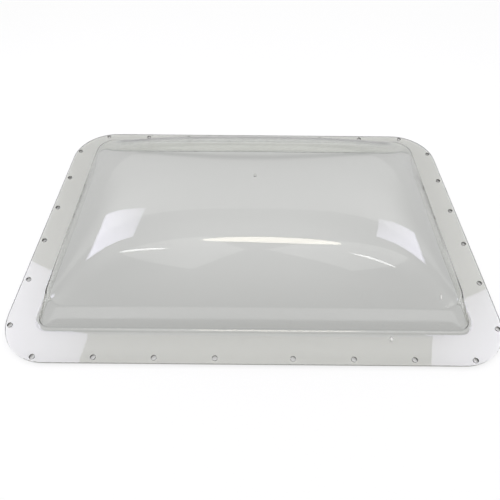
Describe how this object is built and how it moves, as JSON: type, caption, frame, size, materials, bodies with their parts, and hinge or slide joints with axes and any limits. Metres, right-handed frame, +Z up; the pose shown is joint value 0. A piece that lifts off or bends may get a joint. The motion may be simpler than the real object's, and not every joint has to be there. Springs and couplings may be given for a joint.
{
  "type": "rv skylight",
  "caption": "Clear drawn plastic roof dome for a caravan or camper, with a flat flange drilled for screws all round, on clear sealing strips.",
  "frame": {"origin": "middle of the underside of the sealing strips, in the plane of the roof", "axes": "+X along the long side, +Y along the short side towards the rear row of the picture, +Z up through the apex of the dome"},
  "size_m": [0.667, 0.4634, 0.1105],
  "materials": {
    "clear_dome": "clear, high gloss",
    "clear_seal": "clear, smooth"
  },
  "bodies": {
    "root": {"outer_dome": "clear_dome", "seal_strip_front": "clear_seal", "seal_strip_rear": "clear_seal", "seal_strip_left": "clear_seal", "seal_strip_right": "clear_seal"}
  },
  "joints": []
}
